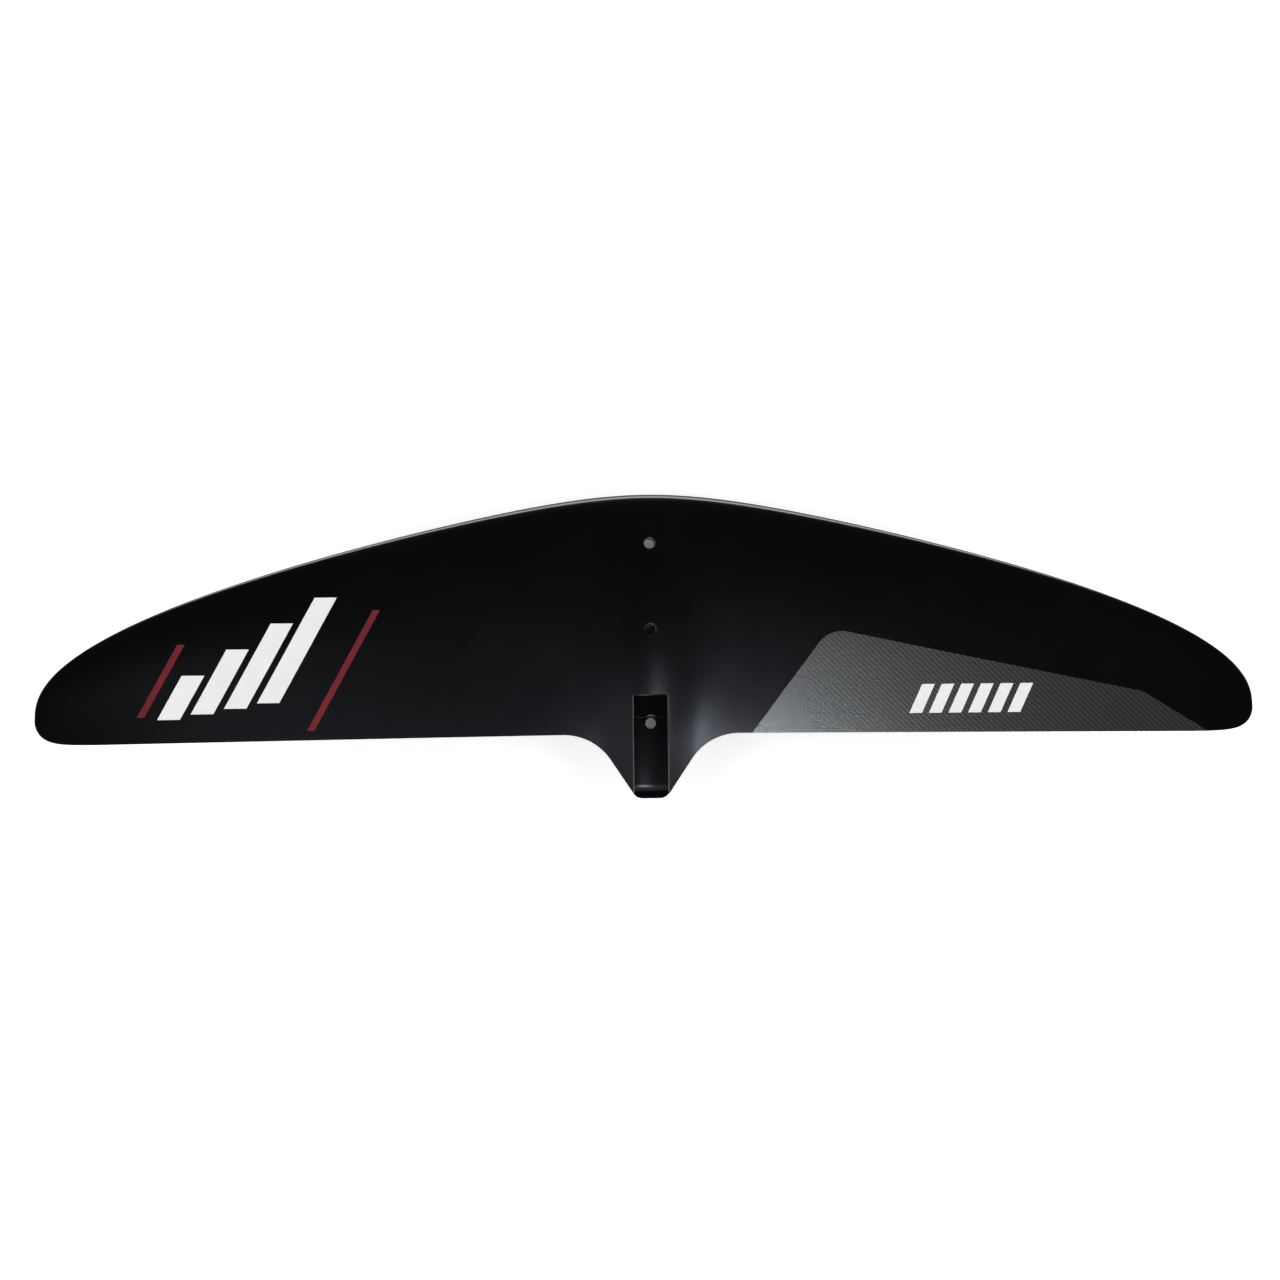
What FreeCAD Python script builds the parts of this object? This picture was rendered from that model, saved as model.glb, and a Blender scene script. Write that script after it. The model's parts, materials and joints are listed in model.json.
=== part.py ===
import FreeCAD, Part
import math
import os
import Sketcher

# Front wing of a hydrofoil, in millimetres. The origin is the centre of the rear bolt hole on the floor
# of the fuselage slot. +X runs to one tip, +Y runs forward to the leading edge and +Z points out of the
# slot, so the face that meets the fuselage is the +Z face and the convex lifting back is the -Z face.

SIZES = [
    ("span", 945.0, "tip to tip"),
    ("apex_ahead", 183.0, "leading edge apex ahead of the rear bolt"),
    ("root_chord", 190.9, "apex to the straight trailing edge"),
    ("trailing_sweep", 0.0062, "aft run of the trailing edge per mm of span"),
    ("nose_sweep", 0.255, "slope that the leading edge tends to"),
    ("nose_radius", 93.5, "how gently the apex is rounded"),
    ("tip_rake", 74.5, "extra sweep of the leading edge at the tip"),
    ("tip_rise", 36.0, "height of the tips above the root"),
    ("thick_ratio", 0.125, "root thickness over root chord"),
    ("thick_taper", 0.025, "fall of that ratio from root to tip"),
    ("camber_depth", 5.0, "greatest camber at the root"),
    ("chord_height", 5.5, "leading edge height at the root"),
    ("edge_thick", 1.2, "trailing edge thickness"),
    ("tail_aft", 60.0, "tail end behind the rear bolt"),
    ("tail_bell", 34.0, "half width of the bell that swells the tail"),
    ("tail_edge_thick", 5.5, "extra thickness of the tail's end"),
    ("tail_sink", 6.2, "how far the tail's mean line sinks"),
    ("tail_angle", 56.5, "degrees between the tail's side and the trailing edge"),
    ("tail_fillet", 45.0, "radius between tail and trailing edge"),
    ("tail_fillet_x", 70.0, "where that fillet leaves the trailing edge"),
    ("tail_corner", 9.0, "radius of the tail's two corners"),
    ("skin_thick", 1.2, "laminate of each outer skin"),
    ("glue_gap", 0.1, "adhesive line between skin and core"),
    ("joint_gap", 0.3, "adhesive line between neighbouring cores"),
    ("slot_width", 28.8, "fuselage slot"),
    ("slot_front", 23.4, "slot front wall ahead of the rear bolt"),
    ("shelf_back", 4.7, "step between shelf and floor ahead of the rear bolt"),
    ("shelf_height", 2.5, "shelf above the slot floor"),
    ("tray_thick", 1.0, "laminate tray that lines the slot"),
    ("bolt_hole", 8.6, "clearance hole for an M8 screw"),
    ("front_bolt_y", 143.4, "front bolt ahead of the rear bolt"),
    ("middle_bolt_y", 74.8, "middle bolt ahead of the rear bolt"),
    ("ferrule_wall", 2.0, "barrel wall of a bolt ferrule"),
    ("head_seat", 17.0, "countersink mouth for the screw head"),
    ("seat_recess", 1.5, "straight wall outside the countersink, trimmed flush with the skin"),
    ("block_half", 36.0, "half width of the solid root blocks"),
    ("tip_block_x", 432.0, "inboard end of the tip blocks"),
    ("cap_thick", 1.0, "spar cap laminate"),
    ("decal_thick", 0.12, "printed film"),
]

doc = FreeCAD.newDocument("hydrofoil_front_wing")
sheet = doc.addObject("Spreadsheet::Sheet", "sizes")
for row, (alias, value, meaning) in enumerate(SIZES, 1):
    sheet.set("A%d" % row, meaning)
    sheet.set("B%d" % row, str(value))
    sheet.setAlias("B%d" % row, alias)
doc.recompute()


def size(alias):
    return float(sheet.get(alias))


size_of = {alias: size(alias) for alias, value, meaning in SIZES}
HALF_SPAN = size_of["span"] / 2
TIP_END = HALF_SPAN * 0.9998
RAKE_POWER = 3.65
RAKE_ROOT = 0.394
TIP_CORNER_POWER = 52
TAIL_BLEND_POWER = 8
RUN_OUT = 0.5
SOLID_EDGE_POWER = 30
TAIL_ANGLE = math.radians(size_of["tail_angle"])

# Chord fractions where one inner piece ends and the next begins.
STRIP_FRONT = 0.012
STRIP_REAR = 0.05
SPAR_FRONT = 0.27
SPAR_REAR = 0.385
BLOCK_REAR = 0.60
CORE_REAR = 0.86
EDGE_STRIP_REAR = 0.985
TAIL_BLOCK_REAR = 0.955
SEAM = 0.001

# How finely the surfaces are laid out: steps along the chord, and stations from the centre to a tip.
CHORD_STEPS = 24
FEWEST_STEPS = 4
CAP_STEPS = 5
SEAT_STEPS = 6
TAIL_STATIONS = [2.0 * step for step in range(11)]
ROOT_STATIONS = [TAIL_STATIONS[-1] + 4.0 * step for step in range(1, 14)]
FAR_STATIONS = 26
END_MARGIN = 1.0
CLOSED_EDGE = 0.005


# ---- outline seen along Z ----

def span_fraction(x):
    return min(abs(x) / HALF_SPAN, 1.0)


def leading_edge(x):
    nose = size_of["nose_radius"]
    sweep = size_of["nose_sweep"] * (math.hypot(x, nose) - nose)
    rake = size_of["tip_rake"] * (1 - (1 - span_fraction(x) ** RAKE_POWER) ** RAKE_ROOT)
    return size_of["apex_ahead"] - sweep - rake


def straight_trailing_edge(x):
    return size_of["apex_ahead"] - size_of["root_chord"] - size_of["trailing_sweep"] * abs(x)


def trailing_edge(x):
    corner = leading_edge(HALF_SPAN) - straight_trailing_edge(HALF_SPAN)
    return straight_trailing_edge(x) + corner * (1 - math.sqrt(1 - span_fraction(x) ** TIP_CORNER_POWER))


def outline_edge(x):
    """Rear outline with the tail: end line, corner arc, straight side, fillet, trailing edge."""
    across = abs(x)
    end = -size_of["tail_aft"]
    fillet = size_of["tail_fillet"]
    fillet_x = size_of["tail_fillet_x"]
    fillet_y = straight_trailing_edge(fillet_x) - fillet
    side_x = fillet_x - fillet * math.sin(TAIL_ANGLE)
    side_y = fillet_y + fillet * math.cos(TAIL_ANGLE)
    end_x = side_x - (side_y - end) / math.tan(TAIL_ANGLE)
    corner = size_of["tail_corner"]
    corner_x = end_x - corner * math.tan(TAIL_ANGLE / 2)
    corner_out = corner_x + corner * math.sin(TAIL_ANGLE)
    if across <= corner_x:
        return end
    if across <= corner_out:
        return end + corner - math.sqrt(corner ** 2 - (across - corner_x) ** 2)
    if across <= side_x:
        return side_y - (side_x - across) * math.tan(TAIL_ANGLE)
    if across <= fillet_x:
        return fillet_y + math.sqrt(fillet ** 2 - (fillet_x - across) ** 2)
    return trailing_edge(x)


def bell(x):
    return math.exp(-(x / size_of["tail_bell"]) ** 2)


def chordwise(x, part):
    """Y of a chord fraction. The sections swell smoothly towards the tail and meet its true outline."""
    front = leading_edge(x)
    swell = (straight_trailing_edge(0) + size_of["tail_aft"]) * bell(x)
    rear = trailing_edge(x) - swell
    return front + part * (rear - front) + part ** TAIL_BLEND_POWER * (outline_edge(x) - rear)


# ---- section heights ----

def mean_height(x, part):
    chord = (leading_edge(x) - trailing_edge(x)) / size_of["root_chord"]
    camber = 4 * size_of["camber_depth"] * chord * part * (1 - part)
    sink = size_of["tail_sink"] * bell(x) * part ** 4
    return size_of["chord_height"] + size_of["tip_rise"] * span_fraction(x) ** 2 - camber - sink


def half_thickness(x, part):
    ratio = size_of["thick_ratio"] - size_of["thick_taper"] * span_fraction(x)
    thickness = ratio * (leading_edge(x) - trailing_edge(x))
    root = math.sqrt(part)
    profile = 0.2969 * root - 0.1260 * part - 0.3516 * part ** 2 + 0.2843 * part ** 3 - 0.1036 * part ** 4
    edge = size_of["edge_thick"] + size_of["tail_edge_thick"] * bell(x)
    return 5 * thickness * profile + edge * part / 2


def inside_thickness(x, part, depth):
    """Half thickness left inside a laminate of this depth, running out softly at both edges."""
    left = half_thickness(x, part) - depth
    start = (math.hypot(depth, RUN_OUT) - depth) / 2
    inside = max((left + math.hypot(left, RUN_OUT)) / 2 - start, 0.0)
    return inside * (1 - part ** SOLID_EDGE_POWER)


def face_height(depth):
    return lambda x, part: mean_height(x, part) + inside_thickness(x, part, depth)


def back_height(depth):
    return lambda x, part: mean_height(x, part) - inside_thickness(x, part, depth)


def face_outside(x, part):
    return mean_height(x, part) + half_thickness(x, part)


def back_outside(x, part):
    return mean_height(x, part) - half_thickness(x, part)


# ---- solids between two heights ----

def stations_between(low, high):
    """Span stations: close together over the tail and towards the tips."""
    near = TAIL_STATIONS + ROOT_STATIONS
    start = math.asin(near[-1] / TIP_END)
    turn = (math.pi / 2 - start) / FAR_STATIONS
    far = [TIP_END * math.sin(start + turn * step) for step in range(1, FAR_STATIONS + 1)]
    half = near + far
    line = [-x for x in reversed(half[1:])] + half
    inner = [x for x in line if low + END_MARGIN < x < high - END_MARGIN]
    return [low] + inner + [high]


def roots_between(low, high, count):
    """Square roots of chord fractions, evenly spaced, so points gather at the nose."""
    first = math.sqrt(low)
    last = math.sqrt(high)
    return [first + (last - first) * step / count for step in range(count + 1)]


def spline_through(points, parameters):
    curve = Part.BSplineCurve()
    curve.interpolate(Points=points, Parameters=parameters)
    return curve


def patch(stations, roots, height):
    """B-spline surface through a grid of section points, first along each section and then across them."""
    angles = [math.asin(x / HALF_SPAN) for x in stations]
    sections = []
    for x in stations:
        points = [FreeCAD.Vector(x, chordwise(x, root ** 2), height(x, root ** 2)) for root in roots]
        sections.append(spline_through(points, roots))
    rows = [section.getPoles() for section in sections]
    lines = [spline_through(list(column), angles) for column in zip(*rows)]
    poles = [list(row) for row in zip(*[line.getPoles() for line in lines])]
    surface = Part.BSplineSurface()
    surface.buildFromPolesMultsKnots(
        poles, lines[0].getMultiplicities(), sections[0].getMultiplicities(),
        lines[0].getKnots(), sections[0].getKnots(), False, False, lines[0].Degree, sections[0].Degree)
    return surface


def slab(stations, roots, low, high):
    """Closed solid between two height fields over the same stations and chord fractions."""
    lower = patch(stations, roots, low)
    upper = patch(stations, roots, high)
    faces = [lower.toShape(), upper.toShape()]
    for pick in (0, 1):
        pair = [surface.uIso(surface.bounds()[pick]).toShape() for surface in (lower, upper)]
        faces.append(Part.makeRuledSurface(pair[0], pair[1]))
    for pick in (2, 3):
        pair = [surface.vIso(surface.bounds()[pick]).toShape() for surface in (lower, upper)]
        if pair[0].distToShape(pair[1])[0] > CLOSED_EDGE or pick == 3:
            faces.append(Part.makeRuledSurface(pair[0], pair[1]))
    shell = Part.makeShell(faces)
    shell.sewShape()
    solid = Part.makeSolid(shell)
    if solid.Volume < 0:
        solid.reverse()
    return solid


def add_feature(label, shape):
    feature = doc.addObject("Part::Feature", label)
    feature.Label = label
    feature.Shape = shape
    return feature


def cut_feature(label, base, tools):
    """The base with the tools taken away, as one feature of the document."""
    tool = tools[0]
    if len(tools) > 1:
        tool = doc.addObject("Part::MultiFuse", label + "_tools")
        tool.Shapes = tools
    cut = doc.addObject("Part::Cut", label)
    cut.Label = label
    cut.Base = base
    cut.Tool = tool
    return cut


def common_feature(label, first, second):
    common = doc.addObject("Part::Common", label)
    common.Label = label
    common.Base = first
    common.Tool = second
    return common


def bind(feature, expressions):
    for path, expression in expressions.items():
        feature.setExpression(path, expression)


def bound_box(label, expressions):
    box = doc.addObject("Part::Box", label)
    bind(box, expressions)
    return box


def bound_cylinder(label, radius, along, low):
    """Upright cylinder on the centre line: radius, place along Y and lower end as expressions."""
    cylinder = doc.addObject("Part::Cylinder", label)
    cylinder.Height = TOOL_REACH
    bind(cylinder, {"Radius": radius, "Placement.Base.y": along, "Placement.Base.z": low})
    return cylinder


def origin_plane(body, role):
    return next(item for item in body.Origin.OriginFeatures if item.Role == role)


def revolved_body(label, corners):
    """PartDesign revolution about Z of a closed profile, each corner a pair of sheet expressions (r, z)."""
    body = doc.addObject("PartDesign::Body", label)
    body.Label = label
    sketch = body.newObject("Sketcher::SketchObject", label + "_profile")
    sketch.AttachmentSupport = [(origin_plane(body, "XZ_Plane"), "")]
    sketch.MapMode = "FlatFace"
    doc.recompute()
    values = [(sheet_value(across), sheet_value(up)) for across, up in corners]
    count = len(corners)
    for index in range(count):
        start = FreeCAD.Vector(*values[index], 0)
        end = FreeCAD.Vector(*values[(index + 1) % count], 0)
        sketch.addGeometry(Part.LineSegment(start, end), False)
    for index in range(count):
        sketch.addConstraint(Sketcher.Constraint("Coincident", index, 2, (index + 1) % count, 1))
    for index, (across, up) in enumerate(corners):
        number = sketch.addConstraint(Sketcher.Constraint("DistanceX", -1, 1, index, 1, values[index][0]))
        sketch.setExpression("Constraints[%d]" % number, across)
        if values[index][1] == 0:
            sketch.addConstraint(Sketcher.Constraint("PointOnObject", index, 1, -1))
            continue
        number = sketch.addConstraint(Sketcher.Constraint("DistanceY", -1, 1, index, 1, values[index][1]))
        sketch.setExpression("Constraints[%d]" % number, up)
    turn = body.newObject("PartDesign::Revolution", label + "_turn")
    turn.Profile = sketch
    turn.ReferenceAxis = (sketch, ["V_Axis"])
    turn.Angle = 360
    sketch.Visibility = False
    doc.recompute()
    return body


def sheet_value(expression):
    """Value of a sheet expression, used to draw a profile before its constraints are bound."""
    sheet.set("D1", "=" + expression.replace("sizes.", ""))
    sheet.recompute()
    return float(sheet.get("D1"))


def add_cell(alias, value, meaning):
    """A size worked out from the sections, kept in the sheet for the features that need it."""
    row = len(SIZES) + 1 + len(worked_out)
    worked_out.append(alias)
    sheet.set("A%d" % row, meaning)
    sheet.set("B%d" % row, "%.3f" % value)
    sheet.setAlias("B%d" % row, alias)


# ---- sizes that follow from the sections ----

worked_out = []
TOOL_REACH = 60
TOP_CLEARANCE = 0.3
tail_chord = size_of["apex_ahead"] + size_of["tail_aft"]
bolts = {"front": size_of["front_bolt_y"], "middle": size_of["middle_bolt_y"], "rear": 0.0}
for name, bolt_y in bolts.items():
    bolt_part = (size_of["apex_ahead"] - bolt_y) / tail_chord
    top = face_height(size_of["skin_thick"])(0, bolt_part) - TOP_CLEARANCE
    if name == "rear":
        top = -size_of["tray_thick"] - size_of["glue_gap"]
    add_cell(name + "_seat_z", back_outside(0, bolt_part), name + " screw seat")
    add_cell(name + "_top_z", top, name + " ferrule top")
    add_cell(name + "_bolt_ahead", bolt_y, name + " bolt ahead of the rear bolt")
doc.recompute()


# ---- tools shared by several pieces ----

full_span = stations_between(-TIP_END, TIP_END)
whole_chord = roots_between(0, 1, CHORD_STEPS)
skin = size_of["skin_thick"]
core_depth = skin + size_of["glue_gap"]
web_depth = core_depth + size_of["cap_thick"] + size_of["glue_gap"]
envelope = add_feature("wing_envelope", slab(full_span, whole_chord, back_outside, face_outside))

BARREL = "sizes.bolt_hole / 2 + sizes.ferrule_wall"
RIM = "sizes.head_seat / 2 + sizes.ferrule_wall"
CONE = "(sizes.head_seat - sizes.bolt_hole) / 2"
BELOW_SEAT = "4 * sizes.seat_recess"
THROUGH_SKIN = "7 * sizes.seat_recess"
TAIL_OVERRUN = "10"


def ferrule_pocket(name):
    """Space that a ferrule fills, with its adhesive line: recess, cone and barrel."""
    seat = "sizes.%s_seat_z" % name
    along = "sizes.%s_bolt_ahead" % name
    recess = doc.addObject("Part::Cylinder", name + "_recess")
    bind(recess, {"Radius": RIM + " + sizes.glue_gap", "Height": BELOW_SEAT,
                  "Placement.Base.y": along, "Placement.Base.z": seat + " - " + BELOW_SEAT})
    cone = doc.addObject("Part::Cone", name + "_cone")
    bind(cone, {"Radius1": RIM + " + sizes.glue_gap", "Radius2": BARREL + " + sizes.glue_gap",
                "Height": CONE, "Placement.Base.y": along, "Placement.Base.z": seat})
    barrel = doc.addObject("Part::Cylinder", name + "_barrel")
    bind(barrel, {"Radius": BARREL + " + sizes.glue_gap",
                  "Height": "sizes.%s_top_z - sizes.%s_seat_z + sizes.ferrule_wall" % (name, name),
                  "Placement.Base.y": along, "Placement.Base.z": seat})
    pocket = doc.addObject("Part::MultiFuse", name + "_pocket")
    pocket.Shapes = [recess, cone, barrel]
    return pocket


def slot_space(label, extra):
    """The fuselage slot: a floor open at the tail and a shelf ahead of it, grown by a laminate."""
    floor = bound_box(label + "_floor", {
        "Length": "sizes.slot_width + 2 * %s" % extra,
        "Width": "sizes.tail_aft + %s + sizes.shelf_back + %s" % (TAIL_OVERRUN, extra),
        "Placement.Base.x": "-sizes.slot_width / 2 - %s" % extra,
        "Placement.Base.y": "-sizes.tail_aft - %s" % TAIL_OVERRUN,
        "Placement.Base.z": "-%s" % extra})
    shelf = bound_box(label + "_shelf", {
        "Length": "sizes.slot_width + 2 * %s" % extra,
        "Width": "sizes.slot_front + %s" % extra,
        "Placement.Base.x": "-sizes.slot_width / 2 - %s" % extra,
        "Placement.Base.z": "sizes.shelf_height - %s" % extra})
    for box in (floor, shelf):
        box.Height = TOOL_REACH
    space = doc.addObject("Part::MultiFuse", label)
    space.Shapes = [floor, shelf]
    return space


def seat_hole(name):
    """Straight hole in the back skin for the rim of a ferrule."""
    hole = bound_cylinder(name + "_seat_hole", RIM + " + sizes.glue_gap", "sizes.%s_bolt_ahead" % name,
                          "sizes.%s_seat_z - %s" % (name, BELOW_SEAT))
    bind(hole, {"Height": THROUGH_SKIN})
    return hole


pockets = {name: ferrule_pocket(name) for name in bolts}
slot_open = slot_space("slot_open", "0")
slot_cut = slot_space("slot_cut", "sizes.tray_thick")
screw_holes = []
for name in ("front", "middle"):
    along = "sizes.%s_bolt_ahead" % name
    screw_holes.append(bound_cylinder(name + "_screw_hole", "sizes.bolt_hole / 2", along, "0"))


# ---- skins ----

face_layup = add_feature("face_layup", slab(full_span, whole_chord, face_height(skin), face_outside))
face_skin = cut_feature("face_skin", face_layup, screw_holes + [slot_cut])
back_layup = add_feature("back_layup", slab(full_span, whole_chord, back_outside, back_height(skin)))
back_skin = cut_feature("back_skin", back_layup, [seat_hole(name) for name in bolts] + [slot_cut])
nodes = [face_skin, back_skin]


# ---- cores, spar and edge strips ----

def core_slab(low, high, front, rear, depth):
    share = math.sqrt(rear) - math.sqrt(front)
    count = max(FEWEST_STEPS, round(CHORD_STEPS * share))
    roots = roots_between(front + SEAM, rear - SEAM, count)
    return slab(stations_between(low, high), roots, back_height(depth), face_height(depth))


block = size_of["block_half"]
tip_start = size_of["tip_block_x"]
gap = size_of["joint_gap"]
TIP_BLOCK_END = 468.0
SIDE_PIECES = [
    ("front_core", block + gap, tip_start - gap, STRIP_REAR, SPAR_FRONT, core_depth),
    ("shear_web", block + gap, tip_start - gap, SPAR_FRONT, SPAR_REAR, web_depth),
    ("rear_core", block + gap, tip_start - gap, SPAR_REAR, CORE_REAR, core_depth),
    ("trailing_strip", block + gap, tip_start - gap, CORE_REAR, EDGE_STRIP_REAR, core_depth),
    ("tip_block", tip_start, TIP_BLOCK_END, STRIP_REAR, EDGE_STRIP_REAR, core_depth),
]
for name, inner, outer, front, rear, depth in SIDE_PIECES:
    nodes.append(add_feature("left_" + name, core_slab(-outer, -inner, front, rear, depth)))
    nodes.append(add_feature("right_" + name, core_slab(inner, outer, front, rear, depth)))
nose_slab = core_slab(gap - tip_start, tip_start - gap, STRIP_FRONT, STRIP_REAR, core_depth)
nodes.append(add_feature("leading_edge_strip", nose_slab))


def cap_slab(height, seam, extra):
    """Laminate strip of the spar, just inside one skin."""
    roots = roots_between(SPAR_FRONT + seam, SPAR_REAR - seam, CAP_STEPS)
    inner = height(web_depth - size_of["glue_gap"] + extra)
    outer = height(core_depth - extra)
    pair = (inner, outer) if height is face_height else (outer, inner)
    return slab(stations_between(gap - tip_start, tip_start - gap), roots, *pair)


cap_clearances = []
for name, height in (("face", face_height), ("back", back_height)):
    nodes.append(add_feature(name + "_spar_cap", cap_slab(height, SEAM, 0)))
    cap_clearances.append(add_feature(name + "_cap_clearance", cap_slab(height, 0, size_of["glue_gap"])))

centre_layup = add_feature("centre_layup", core_slab(-block, block, STRIP_REAR, BLOCK_REAR, core_depth))
centre_cuts = [pockets["front"], pockets["middle"]] + cap_clearances
nodes.append(cut_feature("centre_block", centre_layup, centre_cuts))
tail_layup = add_feature("tail_layup", core_slab(-block, block, BLOCK_REAR, TAIL_BLOCK_REAR, core_depth))
nodes.append(cut_feature("tail_block", tail_layup, [pockets["rear"], slot_cut]))


# ---- slot tray and bolt ferrules ----

tray_blank = cut_feature("tray_blank", slot_cut, [slot_open])
tray_hole = bound_cylinder("tray_hole", "sizes.bolt_hole / 2", "0", "-sizes.bolt_hole")
tray_drilled = cut_feature("tray_drilled", tray_blank, [tray_hole])
nodes.append(common_feature("slot_tray", tray_drilled, envelope))


def below_back(x, part):
    return back_outside(x, part) - size_of["bolt_hole"]


def ferrule(name):
    """Countersunk metal ferrule for one M8 screw, its mouth trimmed flush with the back skin."""
    length = "sizes.%s_top_z - sizes.%s_seat_z + sizes.seat_recess" % (name, name)
    profile = [
        ("sizes.head_seat / 2", "0"),
        (RIM, "0"),
        (RIM, "sizes.seat_recess"),
        (BARREL, "sizes.seat_recess + " + CONE),
        (BARREL, length),
        ("sizes.bolt_hole / 2", length),
        ("sizes.bolt_hole / 2", "sizes.seat_recess + " + CONE),
        ("sizes.head_seat / 2", "sizes.seat_recess"),
    ]
    body = revolved_body(name + "_ferrule_body", profile)
    bind(body, {"Placement.Base.y": "sizes.%s_bolt_ahead" % name,
                "Placement.Base.z": "sizes.%s_seat_z - sizes.seat_recess" % name})
    middle = (size_of["apex_ahead"] - bolts[name]) / tail_chord
    reach = size_of["head_seat"]
    roots = roots_between(middle - reach / tail_chord, middle + reach / tail_chord, SEAT_STEPS)
    outside = slab(stations_between(-reach, reach), roots, below_back, back_outside)
    return cut_feature(name + "_ferrule", body, [add_feature(name + "_outside", outside)])


for name in bolts:
    nodes.append(ferrule(name))


# ---- films on the face ----

FILM_LIFT = 0.02
FILM_FRONT = 0.02
FILM_MARGIN = 6.0

PANEL_CORNERS = [(78.0, -12.0), (143.4, 74.5), (388.7, 21.5), (441.0, -12.0)]
PANEL_ROUNDING = 22.0

BAR_LEAN = 0.55
BAR_COUNT = 4
BAR_START = (-383.0, 8.0)
BAR_PITCH = (25.0, 4.0)
BAR_WIDTH = 17.0
FIRST_BAR_TOP = 42.0
BAR_TOP_RISE = 20.0
EDGE_WIDTH = 5.5
EDGE_LINES = [(-398.0, 10.0, 66.0), (-270.0, -2.0, 92.0)]

MARK_LEAN = 0.45
MARK_COUNT = 6
MARK_START = 206.0
MARK_PITCH = 15.5
MARK_WIDTH = 10.0
MARK_LOW = 6.0
MARK_TOP = 29.0


def film(low, high):
    """Printed film over part of the face, just clear of the skin."""
    def lower(x, part):
        return face_outside(x, part) + FILM_LIFT

    def upper(x, part):
        return lower(x, part) + size_of["decal_thick"]

    return slab(stations_between(low, high), roots_between(FILM_FRONT, 1, CHORD_STEPS), lower, upper)


def below_film(x, y):
    return FreeCAD.Vector(x, y, -TOOL_REACH)


def slanted_bar(x, low, high, width, lean):
    """Closed outline of a bar that leans as it rises."""
    shift = (high - low) * lean
    corners = [(x, low), (x + width, low), (x + width + shift, high), (x + shift, high)]
    return Part.makePolygon([below_film(*corner) for corner in corners + corners[:1]])


def panel_outline():
    """Closed outline of the carbon window: straight sides, with an arc at its second corner."""
    first, corner, third, fourth = [below_film(*corner) for corner in PANEL_CORNERS]
    to_first = (first - corner).normalize()
    to_third = (third - corner).normalize()
    inward = (to_first + to_third).normalize()
    half = to_first.getAngle(to_third) / 2
    start = corner + to_first * (PANEL_ROUNDING / math.tan(half))
    stop = corner + to_third * (PANEL_ROUNDING / math.tan(half))
    crown = corner + inward * (PANEL_ROUNDING / math.sin(half) - PANEL_ROUNDING)
    sides = [(stop, third), (third, fourth), (fourth, first), (first, start)]
    edges = [Part.LineSegment(*side).toShape() for side in sides]
    return Part.Wire([Part.Arc(start, crown, stop).toShape()] + edges)


def printed(label, outlines):
    """Film inside each outline, as one node."""
    prisms = [Part.Face(outline).extrude(FreeCAD.Vector(0, 0, 3 * TOOL_REACH)) for outline in outlines]
    low = min(prism.BoundBox.XMin for prism in prisms) - FILM_MARGIN
    high = max(prism.BoundBox.XMax for prism in prisms) + FILM_MARGIN
    solids = film(low, high).common(prisms).Solids
    return add_feature(label, solids[0] if len(solids) == 1 else Part.makeCompound(solids))


emblem_bars = []
for step in range(BAR_COUNT):
    x = BAR_START[0] + BAR_PITCH[0] * step
    low = BAR_START[1] + BAR_PITCH[1] * step
    emblem_bars.append(slanted_bar(x, low, FIRST_BAR_TOP + BAR_TOP_RISE * step, BAR_WIDTH, BAR_LEAN))
emblem_edges = [slanted_bar(x, low, high, EDGE_WIDTH, BAR_LEAN) for x, low, high in EDGE_LINES]
size_bars = [slanted_bar(MARK_START + MARK_PITCH * step, MARK_LOW, MARK_TOP, MARK_WIDTH, MARK_LEAN)
             for step in range(MARK_COUNT)]
nodes.append(printed("carbon_panel", [panel_outline()]))
nodes.append(printed("emblem_bars", emblem_bars))
nodes.append(printed("emblem_edges", emblem_edges))
nodes.append(printed("size_mark", size_bars))


# ---- checks and export ----

doc.recompute()
for item in doc.Objects:
    if "Invalid" in item.State or "Error" in item.State:
        raise RuntimeError("failed feature: " + item.Label)
os.makedirs("parts", exist_ok=True)
for node in nodes:
    shape = node.Shape
    if shape.isNull() or not shape.isValid() or not shape.Solids:
        raise RuntimeError("bad shape: " + node.Label)
    shape.exportStep("parts/" + node.Label + ".step")
    print("%-20s solids %d volume %10.1f mm3" % (node.Label, len(shape.Solids), shape.Volume))
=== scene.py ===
"""Looks of the hydrofoil front wing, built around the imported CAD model.

The face that meets the fuselage looks up (+Z) and the leading edge looks along +Y. Sections are worked
out in millimetres with the same formulas as the CAD part and become metres when a mesh is made.
"""
import json
import math

import bmesh
import bpy
import numpy as np
from mathutils import Matrix, Vector


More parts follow.
